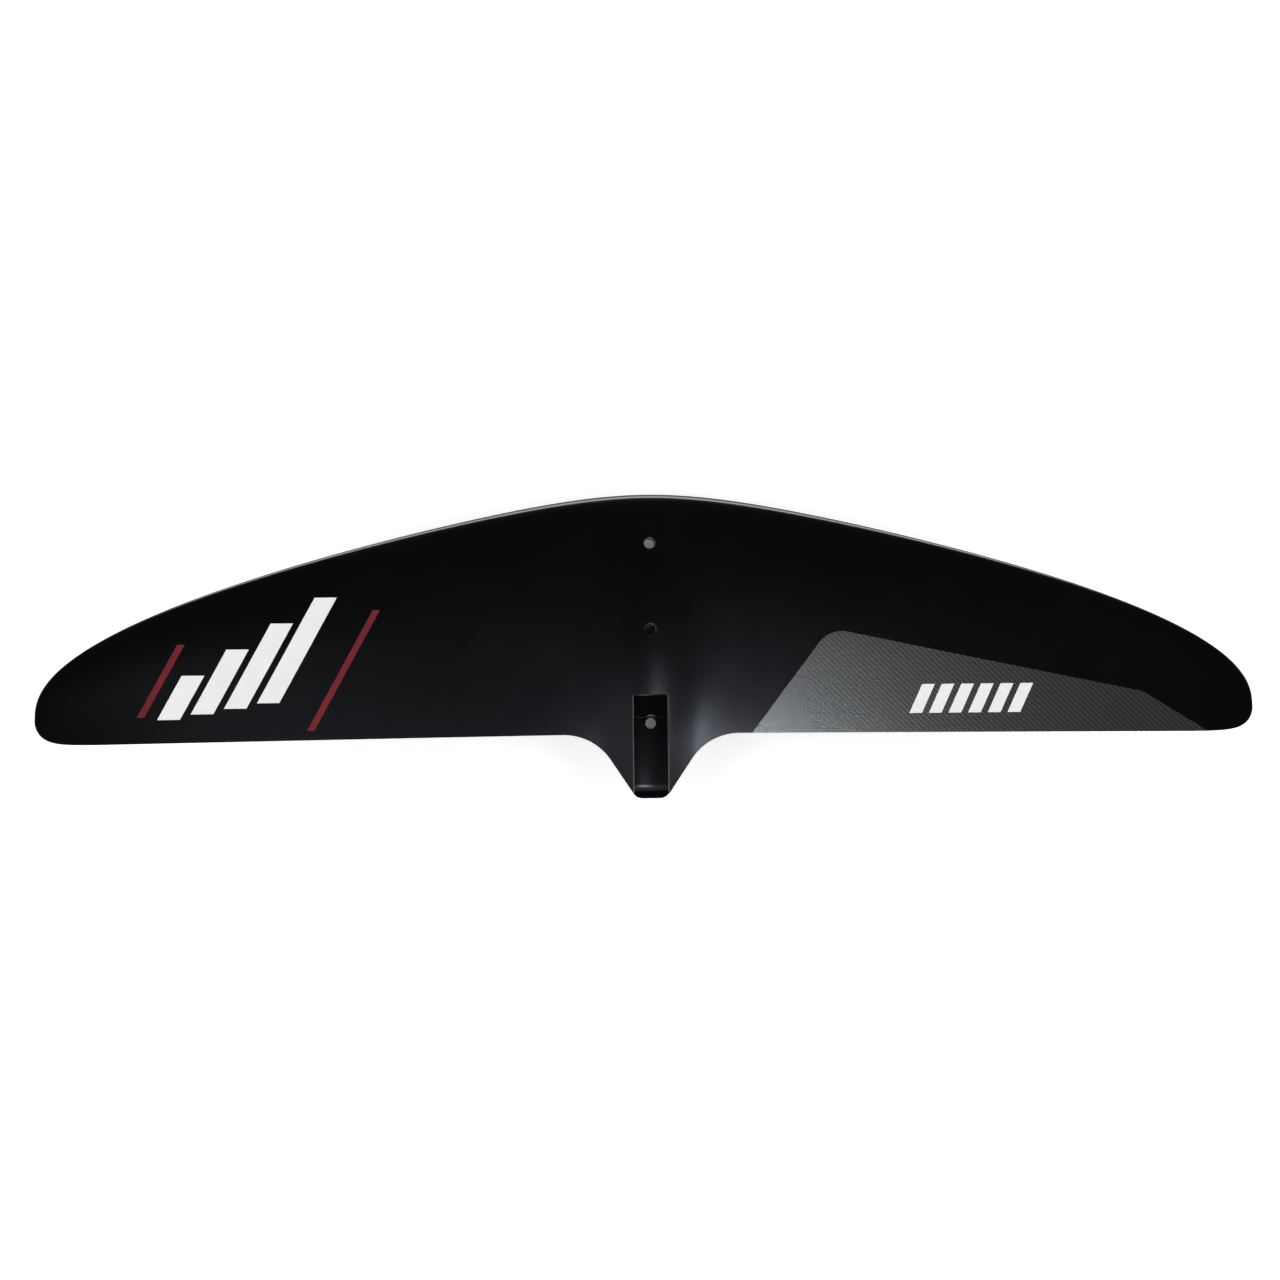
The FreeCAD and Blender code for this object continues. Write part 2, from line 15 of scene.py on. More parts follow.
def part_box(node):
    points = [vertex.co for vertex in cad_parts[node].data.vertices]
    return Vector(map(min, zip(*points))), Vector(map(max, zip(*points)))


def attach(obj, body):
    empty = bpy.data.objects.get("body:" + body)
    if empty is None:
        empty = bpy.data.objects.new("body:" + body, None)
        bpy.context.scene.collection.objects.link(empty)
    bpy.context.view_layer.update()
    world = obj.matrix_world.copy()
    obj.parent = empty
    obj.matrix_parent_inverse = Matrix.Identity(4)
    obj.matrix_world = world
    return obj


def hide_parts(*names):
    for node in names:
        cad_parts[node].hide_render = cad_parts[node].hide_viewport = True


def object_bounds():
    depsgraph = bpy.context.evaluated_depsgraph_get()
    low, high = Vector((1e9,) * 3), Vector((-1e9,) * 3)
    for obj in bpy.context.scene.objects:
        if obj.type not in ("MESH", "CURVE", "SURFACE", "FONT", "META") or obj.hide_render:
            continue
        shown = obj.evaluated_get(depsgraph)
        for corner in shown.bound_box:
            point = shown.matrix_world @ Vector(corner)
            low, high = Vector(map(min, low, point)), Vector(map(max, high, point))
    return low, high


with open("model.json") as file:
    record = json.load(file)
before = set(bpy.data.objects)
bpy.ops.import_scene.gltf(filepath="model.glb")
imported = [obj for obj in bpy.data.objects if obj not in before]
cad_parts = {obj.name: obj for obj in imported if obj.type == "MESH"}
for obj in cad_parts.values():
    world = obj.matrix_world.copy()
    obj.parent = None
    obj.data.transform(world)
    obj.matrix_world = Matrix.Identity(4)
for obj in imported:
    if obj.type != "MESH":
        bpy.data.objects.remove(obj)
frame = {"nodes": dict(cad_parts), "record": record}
cad_low, cad_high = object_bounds()
nodes = frame["nodes"]
MM = 0.001

# ---- driving sizes of the wing, millimetres ----

SPAN = 945.0
HALF_SPAN = SPAN / 2
TIP_END = HALF_SPAN * 0.9998
APEX_AHEAD = 183.0
ROOT_CHORD = 190.9
TRAILING_SWEEP = 0.0062
NOSE_SWEEP = 0.255
NOSE_RADIUS = 93.5
TIP_RAKE = 74.5
TIP_RISE = 36.0
RAKE_POWER = 3.65
RAKE_ROOT = 0.394
TIP_CORNER_POWER = 52
THICK_RATIO = 0.125
THICK_TAPER = 0.025
CAMBER_DEPTH = 5.0
CHORD_HEIGHT = 5.5
EDGE_THICK = 1.2
TAIL_AFT = 60.0
TAIL_BELL = 34.0
TAIL_EDGE_THICK = 5.5
TAIL_SINK = 6.2
TAIL_ANGLE = math.radians(56.5)
TAIL_FILLET = 45.0
TAIL_FILLET_X = 70.0
TAIL_CORNER = 9.0
TAIL_BLEND_POWER = 8
SKIN = 1.2
RUN_OUT = 0.5
SOLID_EDGE_POWER = 30
SLOT_HALF = 14.4
SLOT_FRONT = 23.4
SLOT_CORNER = 1.6
SHELF_BACK = 4.7
SHELF_HEIGHT = 2.5
BOLT_RADIUS = 4.3
BOLTS = (143.4, 74.8, 0.0)
HEAD_SEAT = 17.0
FERRULE_WALL = 2.0
GLUE_GAP = 0.1
FERRULE_RIM = HEAD_SEAT / 2 + FERRULE_WALL + GLUE_GAP


# ---- outline seen along Z ----

def span_fraction(x):
    return np.minimum(np.abs(x) / HALF_SPAN, 1.0)


def leading_edge(x):
    sweep = NOSE_SWEEP * (np.hypot(x, NOSE_RADIUS) - NOSE_RADIUS)
    rake = TIP_RAKE * (1 - (1 - span_fraction(x) ** RAKE_POWER) ** RAKE_ROOT)
    return APEX_AHEAD - sweep - rake


def straight_trailing_edge(x):
    return APEX_AHEAD - ROOT_CHORD - TRAILING_SWEEP * np.abs(x)


def trailing_edge(x):
    corner = leading_edge(HALF_SPAN) - straight_trailing_edge(HALF_SPAN)
    return straight_trailing_edge(x) + corner * (1 - np.sqrt(1 - span_fraction(x) ** TIP_CORNER_POWER))


FILLET_Y = straight_trailing_edge(TAIL_FILLET_X) - TAIL_FILLET
SIDE_X = TAIL_FILLET_X - TAIL_FILLET * math.sin(TAIL_ANGLE)
SIDE_Y = FILLET_Y + TAIL_FILLET * math.cos(TAIL_ANGLE)
END_X = SIDE_X - (SIDE_Y + TAIL_AFT) / math.tan(TAIL_ANGLE)
CORNER_X = END_X - TAIL_CORNER * math.tan(TAIL_ANGLE / 2)
CORNER_OUT = CORNER_X + TAIL_CORNER * math.sin(TAIL_ANGLE)


def outline_edge(x):
    """Rear outline with the tail: end line, corner arc, straight side, fillet, trailing edge."""
    across = np.abs(x)
    arc = TAIL_CORNER - np.sqrt(np.maximum(TAIL_CORNER ** 2 - (across - CORNER_X) ** 2, 0))
    side = SIDE_Y - (SIDE_X - across) * math.tan(TAIL_ANGLE)
    fillet = FILLET_Y + np.sqrt(np.maximum(TAIL_FILLET ** 2 - (TAIL_FILLET_X - across) ** 2, 0))
    stretches = [across <= CORNER_X, across <= CORNER_OUT, across <= SIDE_X, across <= TAIL_FILLET_X]
    return np.select(stretches, [-TAIL_AFT + 0 * across, -TAIL_AFT + arc, side, fillet], trailing_edge(x))


def tail_half_width(y):
    """Half width of the tail's outline at a place behind the rear bolt."""
    corner_y = -TAIL_AFT + TAIL_CORNER - TAIL_CORNER * math.cos(TAIL_ANGLE)
    drop = max(TAIL_CORNER - (y + TAIL_AFT), 0.0)
    if y < corner_y:
        return CORNER_X + math.sqrt(max(TAIL_CORNER ** 2 - drop ** 2, 0.0))
    return SIDE_X - (SIDE_Y - y) / math.tan(TAIL_ANGLE)


def bell(x):
    return np.exp(-(x / TAIL_BELL) ** 2)


def chordwise(x, part):
    front = leading_edge(x)
    rear = trailing_edge(x) - (straight_trailing_edge(0.0) + TAIL_AFT) * bell(x)
    return front + part * (rear - front) + part ** TAIL_BLEND_POWER * (outline_edge(x) - rear)


# ---- section heights ----

def mean_height(x, part):
    chord = (leading_edge(x) - trailing_edge(x)) / ROOT_CHORD
    camber = 4 * CAMBER_DEPTH * chord * part * (1 - part)
    return CHORD_HEIGHT + TIP_RISE * span_fraction(x) ** 2 - camber - TAIL_SINK * bell(x) * part ** 4


def half_thickness(x, part):
    """Half thickness by the four digit aerofoil formula, plus the blunt rear edge."""
    thickness = (THICK_RATIO - THICK_TAPER * span_fraction(x)) * (leading_edge(x) - trailing_edge(x))
    root = np.sqrt(part)
    profile = 0.2969 * root - 0.1260 * part - 0.3516 * part ** 2 + 0.2843 * part ** 3 - 0.1036 * part ** 4
    return 5 * thickness * profile + (EDGE_THICK + TAIL_EDGE_THICK * bell(x)) * part / 2


def inside_thickness(x, part):
    left = half_thickness(x, part) - SKIN
    start = (math.hypot(SKIN, RUN_OUT) - SKIN) / 2
    inside = np.maximum((left + np.hypot(left, RUN_OUT)) / 2 - start, 0.0)
    return inside * (1 - part ** SOLID_EDGE_POWER)


HALVINGS = 34


def part_at(x, y):
    """Chord fraction of a place seen along Z, found by halving."""
    low = np.zeros(np.broadcast(x, y).shape)
    high = np.ones_like(low)
    for _ in range(HALVINGS):
        middle = (low + high) / 2
        ahead = chordwise(x, middle) > y
        low = np.where(ahead, middle, low)
        high = np.where(ahead, high, middle)
    return (low + high) / 2


def face_at(x, y):
    part = part_at(x, y)
    return mean_height(x, part) + half_thickness(x, part)


def inside_face_at(x, y):
    part = part_at(x, y)
    return mean_height(x, part) + inside_thickness(x, part)


# ---- mesh helpers ----

JOIN_DISTANCE = 1e-6
TURN_STEPS = 96
CREASE_ANGLE = math.radians(32.0)


def make_object(name, points, faces, smooth=True):
    mesh = bpy.data.meshes.new(name)
    mesh.from_pydata([tuple(point) for point in np.asarray(points, dtype=float) * MM], [], faces)
    mesh.validate()
    mesh.polygons.foreach_set("use_smooth", [smooth] * len(mesh.polygons))
    piece = bpy.data.objects.new(name, mesh)
    bpy.context.collection.objects.link(piece)
    return piece


def grid_faces(rows, columns, offset=0, flip=False):
    faces = []
    for row in range(rows - 1):
        for column in range(columns - 1):
            first = offset + row * columns + column
            quad = (first, first + 1, first + columns + 1, first + columns)
            faces.append(quad[::-1] if flip else quad)
    return faces


def border(rows, columns):
    """Indices round the edge of a grid, in order."""
    top = list(range(columns))
    right = [row * columns + columns - 1 for row in range(1, rows)]
    bottom = [(rows - 1) * columns + column for column in range(columns - 2, -1, -1)]
    left = [row * columns for row in range(rows - 2, 0, -1)]
    return top + right + bottom + left


def closed_sheet(name, lower, upper):
    """Closed piece between two grids of points with the same rows and columns."""
    rows, columns = lower.shape[:2]
    count = rows * columns
    faces = grid_faces(rows, columns) + grid_faces(rows, columns, count, True)
    edge = border(rows, columns)
    for here, after in zip(edge, edge[1:] + edge[:1]):
        faces.append((after, here, here + count, after + count))
    piece = make_object(name, np.concatenate([lower.reshape(-1, 3), upper.reshape(-1, 3)]), faces)
    tidy(piece)
    return piece


def tidy(piece):
    """Joins points that lie together and turns every face outwards."""
    work = bmesh.new()
    work.from_mesh(piece.data)
    bmesh.ops.remove_doubles(work, verts=work.verts, dist=JOIN_DISTANCE)
    bmesh.ops.dissolve_degenerate(work, edges=work.edges, dist=JOIN_DISTANCE)
    bmesh.ops.recalc_face_normals(work, faces=work.faces)
    work.to_mesh(piece.data)
    work.free()


def loft(name, sections):
    """Closed piece through loops of the same number of points, with a flat cap at each end."""
    count = len(sections[0])
    faces = []
    for row in range(len(sections) - 1):
        for column in range(count):
            first = row * count + column
            after = row * count + (column + 1) % count
            faces.append((first, after, after + count, first + count))
    last = (len(sections) - 1) * count
    faces.append(tuple(range(count))[::-1])
    faces.append(tuple(range(last, last + count)))
    piece = make_object(name, np.concatenate([np.asarray(section) for section in sections]), faces)
    tidy(piece)
    return piece


def turned(name, profile, along):
    """Closed piece turned about an upright axis on the centre line, from (radius, height) pairs."""
    sections = []
    for radius, height in profile:
        angles = [2 * math.pi * step / TURN_STEPS for step in range(TURN_STEPS)]
        sections.append([(radius * math.cos(a), along + radius * math.sin(a), height) for a in angles])
    return loft(name, sections)


def cut(piece, tools):
    """Takes the tools away from the piece and deletes them."""
    for tool in tools:
        modifier = piece.modifiers.new("cut", "BOOLEAN")
        modifier.operation = "DIFFERENCE"
        modifier.solver = "EXACT"
        modifier.object = tool
        shown = piece.evaluated_get(bpy.context.evaluated_depsgraph_get())
        mesh = bpy.data.meshes.new_from_object(shown)
        piece.modifiers.clear()
        piece.data = mesh
    for tool in tools:
        bpy.data.objects.remove(tool)


def sharpen(piece):
    """Smooth shading with a crease wherever faces meet at more than the crease angle."""
    work = bmesh.new()
    work.from_mesh(piece.data)
    bmesh.ops.remove_doubles(work, verts=work.verts, dist=2 * JOIN_DISTANCE)
    for face in work.faces:
        face.smooth = True
    for edge in work.edges:
        folded = len(edge.link_faces) == 2 and edge.calc_face_angle(0.0) > CREASE_ANGLE
        edge.smooth = not folded
    work.to_mesh(piece.data)
    work.free()


# ---- tools that cut the slot and the holes ----

LIP = 0.15
FLOOR_FILLET = 1.2
TOOL_TOP = 60.0
END_ROLL = 11.0
END_DROP = 2.2
STEP_SOFT = 0.45
ARC_STEPS = 5
CORNER_STEPS = 6
LAST_RIM = -58.0
LEAST_WALL = 0.1
TOOL_FLARE = 0.6
TOOL_RISE = 0.5
TOOL_SPREAD = 3.0
SKIN_SINK = 0.06
BEYOND_TAIL = [-75.0, -66.0]
ROLL_PLACES = 13
FLOOR_START = -44.0
FLOOR_STEP = 6.0
FLOOR_PLACES = 8
BEFORE_STEP = 0.4
SHELF_PLACES = [9.0, 14.0, 19.0]
HOLE_CHAMFER = 0.5
SEAT_CHAMFER = 0.4
SEAT_REACH = 7.0
FERRULES = dict(zip(BOLTS, ("front_ferrule", "middle_ferrule", "rear_ferrule")))


def quarter_turn(steps):
    return [math.pi / 2 * step / steps for step in range(steps + 1)]


def slot_floor(y):
    """Height of the slot's floor: shelf, softened step, floor, and the roll-off at the tail end."""
    if y > SHELF_BACK:
        rise = min((y - SHELF_BACK) / STEP_SOFT, 1.0)
        return SHELF_HEIGHT * math.sin(rise * math.pi / 2)
    aft = max((-TAIL_AFT + END_ROLL) - y, 0.0) / END_ROLL
    return -END_DROP * aft ** 2


def slot_section(y, half, bottom, sink):
    """Cross section of the slot tool: filleted floor corners and lips that flare at the face."""
    rim = float(face_at(np.array(half), np.array(max(y, LAST_RIM))))
    right = []
    fillet = min(FLOOR_FILLET, max(rim - LIP - bottom, LEAST_WALL) * 0.5)
    for angle in quarter_turn(ARC_STEPS):
        right.append((half - fillet + fillet * math.sin(angle), bottom + fillet - fillet * math.cos(angle)))
    for angle in quarter_turn(ARC_STEPS):
        right.append((half + LIP - LIP * math.cos(angle), rim - LIP + LIP * math.sin(angle)))
    right.append((half + LIP + TOOL_FLARE, rim + TOOL_RISE))
    right.append((half + LIP + TOOL_FLARE, TOOL_TOP))
    left = [(-across, height) for across, height in reversed(right)]
    return [(across, y, height - sink) for across, height in right + left]


def slot_tool(name, sink):
    """Closed tool of the slot's open space, lowered by sink."""
    places = BEYOND_TAIL + [-TAIL_AFT + step for step in range(ROLL_PLACES)]
    places += [FLOOR_START + FLOOR_STEP * step for step in range(FLOOR_PLACES)]
    places += [SHELF_BACK - BEFORE_STEP]
    places += [SHELF_BACK + STEP_SOFT * step / ARC_STEPS for step in range(ARC_STEPS + 1)]
    places += SHELF_PLACES
    sections = [slot_section(y, SLOT_HALF, slot_floor(max(y, -TAIL_AFT)), sink) for y in places]
    start = SLOT_FRONT - SLOT_CORNER
    for angle in quarter_turn(CORNER_STEPS):
        y = start + SLOT_CORNER * math.sin(angle)
        half = SLOT_HALF - SLOT_CORNER * (1 - math.cos(angle))
        sections.append(slot_section(y, half, SHELF_HEIGHT, sink))
    return loft(name, sections)


def hole_tool(name, along, low, rim, chamfer=HOLE_CHAMFER):
    """Drill with a small chamfer where it leaves the face."""
    mouth = BOLT_RADIUS + chamfer
    profile = [(BOLT_RADIUS, low), (BOLT_RADIUS, rim - chamfer), (mouth, rim)]
    profile += [(mouth + TOOL_SPREAD, rim + TOOL_SPREAD)]
    return turned(name, profile, along)


def seat_tool(name, along):
    """Drill for the rim of a ferrule in the back, with a small chamfer."""
    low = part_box(FERRULES[along])[0][2] / MM
    mouth = FERRULE_RIM + SEAT_CHAMFER
    profile = [(mouth + TOOL_SPREAD, low - TOOL_SPREAD), (mouth, low)]
    profile += [(FERRULE_RIM, low + SEAT_CHAMFER), (FERRULE_RIM, low + SEAT_REACH)]
    return turned(name, profile, along)


# ---- skins ----

TAIL_PLACES = 24
ROOT_PLACES = 25
ROOT_STEP = 2.0
FAR_PLACES = 110
CHORD_PLACES = 73


def stations():
    """Span stations: close together over the tail and towards the tips."""
    near = [float(step) for step in range(TAIL_PLACES)]
    near += [TAIL_PLACES + ROOT_STEP * step for step in range(ROOT_PLACES)]
    start = math.asin(near[-1] / TIP_END)
    left = math.pi / 2 - start
    angles = [start + left * step / FAR_PLACES for step in range(1, FAR_PLACES + 1)]
    half = near + [TIP_END * math.sin(angle) for angle in angles]
    return np.array([-x for x in reversed(half[1:])] + half)


def skin_grids(side):
    """Outer and inner points of one skin; side is +1 for the face and -1 for the back."""
    x, root = np.meshgrid(stations(), np.linspace(0.0, 1.0, CHORD_PLACES), indexing="ij")
    part = root ** 2
    y = chordwise(x, part)
    middle = mean_height(x, part)
    outer = np.stack([x, y, middle + side * half_thickness(x, part)], axis=-1)
    inner = np.stack([x, y, middle + side * inside_thickness(x, part)], axis=-1)
    return inner, outer


def face_shell():
    piece = closed_sheet("face_shell", *skin_grids(1))
    tools = [hole_tool("drill_%d" % number, along, 0.0, float(face_at(np.array(0.0), np.array(along))))
             for number, along in enumerate(BOLTS[:2])]
    cut(piece, [slot_tool("slot_tool", SKIN_SINK)] + tools)
    sharpen(piece)
    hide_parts("face_skin")
    return piece


def back_shell():
    piece = closed_sheet("back_shell", *skin_grids(-1))
    seats = [seat_tool("seat_%d" % number, along) for number, along in enumerate(BOLTS)]
    cut(piece, [slot_tool("slot_tool", SKIN_SINK)] + seats)
    sharpen(piece)
    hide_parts("back_skin")
    return piece


# ---- slot tray ----

TRAY_WALL = 1.0
TRAY_INSET = 0.05
TRAY_PLACES = 25
TRAY_LAST_TOP = -59.0
TRAY_LEAST = 0.3
TRAY_CHAMFER = 0.3
TRAY_STEP_PLACES = [4.2, 4.7, 4.9, 5.2, 7.0, 10.0, 14.0, 18.0, 21.0]
BELOW_TRAY = -20.0


def tray_section(y):
    """Cross section of the tray's blank: from below the floor up to the inside of the face skin."""
    half = min(SLOT_HALF + TRAY_WALL, tail_half_width(y) - TRAY_INSET) if y < 0 else SLOT_HALF + TRAY_WALL
    across = np.linspace(-half, half, TRAY_PLACES)
    top = inside_face_at(across, np.full(TRAY_PLACES, max(y, TRAY_LAST_TOP))) - TRAY_INSET
    top = np.maximum(top, slot_floor(y) + TRAY_LEAST)
    loop = [(x, y, height) for x, height in zip(across, top)]
    low = slot_floor(y) - TRAY_WALL
    return loop + [(half, y, low), (-half, y, low)]


def slot_tray():
    end = -TAIL_AFT + TRAY_INSET
    places = [end + 0.5 * step for step in range(20)] + [-50.0 + 2.0 * step for step in range(27)]
    places += TRAY_STEP_PLACES + [SLOT_FRONT + TRAY_WALL]
    piece = loft("slot_lining", [tray_section(y) for y in places])
    drill = hole_tool("rear_drill", 0.0, BELOW_TRAY, 0.0, TRAY_CHAMFER)
    cut(piece, [slot_tool("slot_tool", 0.0), drill])
    sharpen(piece)
    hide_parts("slot_tray")
    return piece


# ---- printed films and the carbon window, which lie on the face ----

FILM = 0.06
FILM_LIFT = 0.01
FILM_STEP = 2.0
WINDOW_TOP = FILM_LIFT + FILM + FILM_LIFT


def film_patch(name, x, y, lift=FILM_LIFT):
    """Thin closed film over a grid of places on the face."""
    height = face_at(x, y)
    lower = np.stack([x, y, height + lift], axis=-1)
    upper = np.stack([x, y, height + lift + FILM], axis=-1)
    return closed_sheet(name, lower, upper)


def bar_grid(x, low, high, width, lean):
    """Places in a bar that leans as it rises."""
    across = np.linspace(0, width, max(3, round(width / FILM_STEP)))
    up = np.linspace(low, high, max(4, round((high - low) / FILM_STEP)))
    grid_up, grid_across = np.meshgrid(up, across)
    return x + grid_across + (grid_up - low) * lean, grid_up


def joined(name, pieces):
    with bpy.context.temp_override(active_object=pieces[0], selected_editable_objects=pieces):
        bpy.ops.object.join()
    pieces[0].name = name
    pieces[0].data.name = name
    return pieces[0]


def bar_print(name, node, bars, lift=FILM_LIFT):
    films = [film_patch("%s_%d" % (name, number), *bar_grid(*bar), lift) for number, bar in enumerate(bars)]
    piece = joined(name, films)
    sharpen(piece)
    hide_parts(node)
    return piece


PANEL_LEFT = 79.5
PANEL_RIGHT = 439.0
PANEL_PEAK = (143.4, 74.5)
PANEL_KNEE = (388.7, 21.5)
PANEL_FOOT = (78.0, -12.0)
PANEL_END = (441.0, -12.0)
PANEL_CORNER = 22.0
CURVE_END = 175.0
SLOPE_START = 177.0
CURVE_PLACES = 64
SLOPE_PLACES = 150
PANEL_ROWS = 41
PANEL_GAP = 0.12
PANEL_LEAST = 0.05


def panel_top(x):
    """Upper edge of the carbon window: rising side, rounded corner, long slope, short slope."""
    peak_x, peak_y = PANEL_PEAK
    knee_x, knee_y = PANEL_KNEE
    foot_x, foot_y = PANEL_FOOT
    end_x, end_y = PANEL_END
    rising = (peak_y - foot_y) / (peak_x - foot_x)
    falling = (knee_y - peak_y) / (knee_x - peak_x)
    ending = (end_y - knee_y) / (end_x - knee_x)
    up = math.atan(rising)
    down = math.atan(falling)
    edge = np.minimum(peak_y + rising * (x - peak_x), peak_y + falling * (x - peak_x))
    edge = np.where(x > knee_x, knee_y + ending * (x - knee_x), edge)
    half = (math.pi - up + down) / 2
    reach = PANEL_CORNER / math.tan(half)
    start_x = peak_x - reach * math.cos(up)
    start_y = peak_y - reach * math.sin(up)
    centre_x = start_x + PANEL_CORNER * math.sin(up)
    centre_y = start_y - PANEL_CORNER * math.cos(up)
    stop_x = peak_x + reach * math.cos(down)
    arc = centre_y + np.sqrt(np.maximum(PANEL_CORNER ** 2 - (x - centre_x) ** 2, 0))
    return np.where((x > start_x) & (x < stop_x), arc, edge)


def carbon_window():
    curve = np.linspace(PANEL_LEFT, CURVE_END, CURVE_PLACES)
    x = np.concatenate([curve, np.linspace(SLOPE_START, PANEL_RIGHT, SLOPE_PLACES)])
    low = outline_edge(x) + PANEL_GAP
    rise = np.maximum(panel_top(x) - low, PANEL_LEAST)
    share = np.linspace(0.0, 1.0, PANEL_ROWS)
    grid_x = np.repeat(x[:, None], len(share), axis=1)
    grid_y = low[:, None] + rise[:, None] * share[None, :]
    piece = film_patch("carbon_window", grid_x, grid_y)
    sharpen(piece)
    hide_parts("carbon_panel")
    return piece


# Each bar is its left edge, lower end, upper end, width and lean.
BAR_LEAN = 0.55
MARK_LEAN = 0.45
EMBLEM_BARS = [(-383.0 + 25.0 * step, 8.0 + 4.0 * step, 42.0 + 20.0 * step, 17.0, BAR_LEAN)
               for step in range(4)]
EMBLEM_EDGES = [(-398.0, 10.0, 66.0, 5.5, BAR_LEAN), (-270.0, -2.0, 92.0, 5.5, BAR_LEAN)]
SIZE_BARS = [(206.0 + 15.5 * step, 6.0, 29.0, 10.0, MARK_LEAN) for step in range(6)]


# ---- materials ----

def new_material(name):
    material = bpy.data.materials.new(name)
    material.use_nodes = True
    tree = material.node_tree
    return material, tree, tree.nodes["Principled BSDF"]


def add_node(tree, kind, **settings):
    node = tree.nodes.new(kind)
    for key, value in settings.items():
        setattr(node, key, value)
    return node


def object_place(tree):
    return add_node(tree, "ShaderNodeTexCoord").outputs["Object"]


def math_node(tree, operation, first, second=None):
    node = add_node(tree, "ShaderNodeMath", operation=operation)
    for socket, value in zip(node.inputs, (first, second)):
        if value is None:
            continue
        if isinstance(value, (int, float)):
            socket.default_value = value
        else:
            tree.links.new(value, socket)
    return node.outputs[0]


def vector_math(tree, operation, first, second):
    node = add_node(tree, "ShaderNodeVectorMath", operation=operation)
    tree.links.new(first, node.inputs[0])
    node.inputs[1].default_value = second
    return node.outputs["Vector"]


def noise(tree, place, scale, detail=3.0, roughness=0.5):
    node = add_node(tree, "ShaderNodeTexNoise")
    node.inputs["Scale"].default_value = scale
    node.inputs["Detail"].default_value = detail
    node.inputs["Roughness"].default_value = roughness
    tree.links.new(place, node.inputs["Vector"])
    return node.outputs["Fac"]


def ramp(tree, value, stops):
    """Colour ramp from (position, (r, g, b)) stops."""
    node = add_node(tree, "ShaderNodeValToRGB")
    elements = node.color_ramp.elements
    for position, colour in stops[1:-1]:
        elements.new(position)
    for element, (position, colour) in zip(elements, stops):
        element.position = position
        element.color = (*colour, 1.0)
    tree.links.new(value, node.inputs["Fac"])
    return node.outputs["Color"]


def spread(tree, value, low, high):
    """Maps 0..1 to low..high."""
    node = add_node(tree, "ShaderNodeMapRange")
    node.inputs["To Min"].default_value = low
    node.inputs["To Max"].default_value = high
    tree.links.new(value, node.inputs["Value"])
    return node.outputs["Result"]


def paint(tree, shader, value, stops):
    tree.links.new(ramp(tree, value, stops), shader.inputs["Base Color"])


def roughen(tree, shader, value, low, high):
    tree.links.new(spread(tree, value, low, high), shader.inputs["Roughness"])


def bump(tree, shader, height, strength, distance):
    node = add_node(tree, "ShaderNodeBump")
    node.inputs["Strength"].default_value = strength
    node.inputs["Distance"].default_value = distance
    tree.links.new(height, node.inputs["Height"])
    tree.links.new(node.outputs["Normal"], shader.inputs["Normal"])


def lacquer(name, dark, light, rough):
    """Satin black lacquer: soft orange peel, faint handling marks and a thin clear coat."""
    material, tree, shader = new_material(name)
    place = object_place(tree)
    cloud = noise(tree, place, 9.0, 4.0)
    paint(tree, shader, cloud, [(0.3, dark), (0.7, light)])
    smudge = noise(tree, place, 32.0, 6.0, 0.65)
    roughen(tree, shader, smudge, rough - 0.03, rough + 0.05)
    bump(tree, shader, noise(tree, place, 420.0, 2.0), 0.04, 0.0002)
    shader.inputs["Coat Weight"].default_value = 0.1
    shader.inputs["Coat Roughness"].default_value = 0.12
    return material


TOW = 0.0011


def rounded(tree, place):
    """Height across one tow: nothing at its edges and full in the middle."""
    return math_node(tree, "SINE", math_node(tree, "MULTIPLY", math_node(tree, "FRACT", place), math.pi))


def weighted(tree, value, weight):
    return math_node(tree, "MULTIPLY", value, weight)


def carbon_twill(name):
    """Clear coated 2 by 2 twill: each tow is rounded and warp and weft differ in roughness; warp tows are
    painted lighter than weft as a painted sheen, and each tow's crown is painted lighter as a painted
    highlight.
    """
    material, tree, shader = new_material(name)
    split = add_node(tree, "ShaderNodeSeparateXYZ")
    tows = vector_math(tree, "MULTIPLY", object_place(tree), (1 / TOW, 1 / TOW, 1.0))
    tree.links.new(tows, split.inputs["Vector"])
    across, along = split.outputs["X"], split.outputs["Y"]
    column = math_node(tree, "FLOOR", across)
    row = math_node(tree, "FLOOR", along)
    diagonal = math_node(tree, "FLOORED_MODULO", math_node(tree, "ADD", column, row), 4.0)
    warp = math_node(tree, "LESS_THAN", diagonal, 2.0)
    weft = math_node(tree, "SUBTRACT", 1.0, warp)
    warp_crown = weighted(tree, warp, rounded(tree, across))
    crown = math_node(tree, "ADD", warp_crown, weighted(tree, weft, rounded(tree, along)))
    fibre = noise(tree, object_place(tree), 2600.0, 2.0)
    # Base colour: warp lighter than weft as painted sheen, lighter along each tow's crown as painted
    # highlight, plus random fibre tone.
    shade = math_node(tree, "ADD", weighted(tree, warp, 0.35), weighted(tree, crown, 0.4))
    shade = math_node(tree, "ADD", shade, weighted(tree, fibre, 0.25))
    paint(tree, shader, shade, [(0.1, (0.24, 0.236, 0.222)), (0.9, (0.42, 0.414, 0.39))])
    roughen(tree, shader, warp, 0.2, 0.24)
    shader.inputs["Metallic"].default_value = 0.95
    shader.inputs["Coat Weight"].default_value = 0.2
    shader.inputs["Coat Roughness"].default_value = 0.12
    bump(tree, shader, crown, 0.05, 0.0001)
    return material


def print_ink(name, base, worn, rough):
    """Ink: slightly uneven, with a fine tooth."""
    material, tree, shader = new_material(name)
    place = object_place(tree)
    paint(tree, shader, noise(tree, place, 60.0, 5.0), [(0.3, worn), (0.6, base)])
    roughen(tree, shader, noise(tree, place, 300.0), rough - 0.06, rough + 0.06)
    bump(tree, shader, noise(tree, place, 900.0, 2.0), 0.05, 0.0001)
    return material


